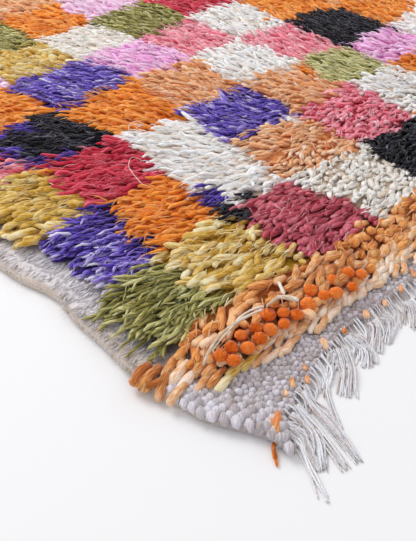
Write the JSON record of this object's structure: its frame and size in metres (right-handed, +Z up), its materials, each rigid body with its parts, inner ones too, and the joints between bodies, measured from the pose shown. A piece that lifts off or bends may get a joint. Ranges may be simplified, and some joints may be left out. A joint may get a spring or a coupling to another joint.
{
  "type": "moroccan pile rug",
  "caption": "Hand-knotted wool pile rug with uneven coloured checks, felted white selvedges, flatwoven ends and string fringes, lying flat on the floor.",
  "frame": {"origin": "under the middle of the rug, on the floor", "axes": "+Z up, +Y along the rug's length away from the end with the drawn-out corner, +X across it"},
  "size_m": [0.8832, 1.2979, 0.0319],
  "materials": {
    "ground_wool": "undyed hand-spun wool, packed plain weave, felted and hairy at the selvedges",
    "pile_wool": "thick hand-spun wool pile dyed in many colours, cut uneven, matt with soft sheen",
    "warp_string": "plied undyed warp strings, matt"
  },
  "bodies": {
    "root": {"ground_weave": "ground_wool", "pile": "pile_wool", "fringe_near": "warp_string", "fringe_far": "warp_string"}
  },
  "joints": []
}
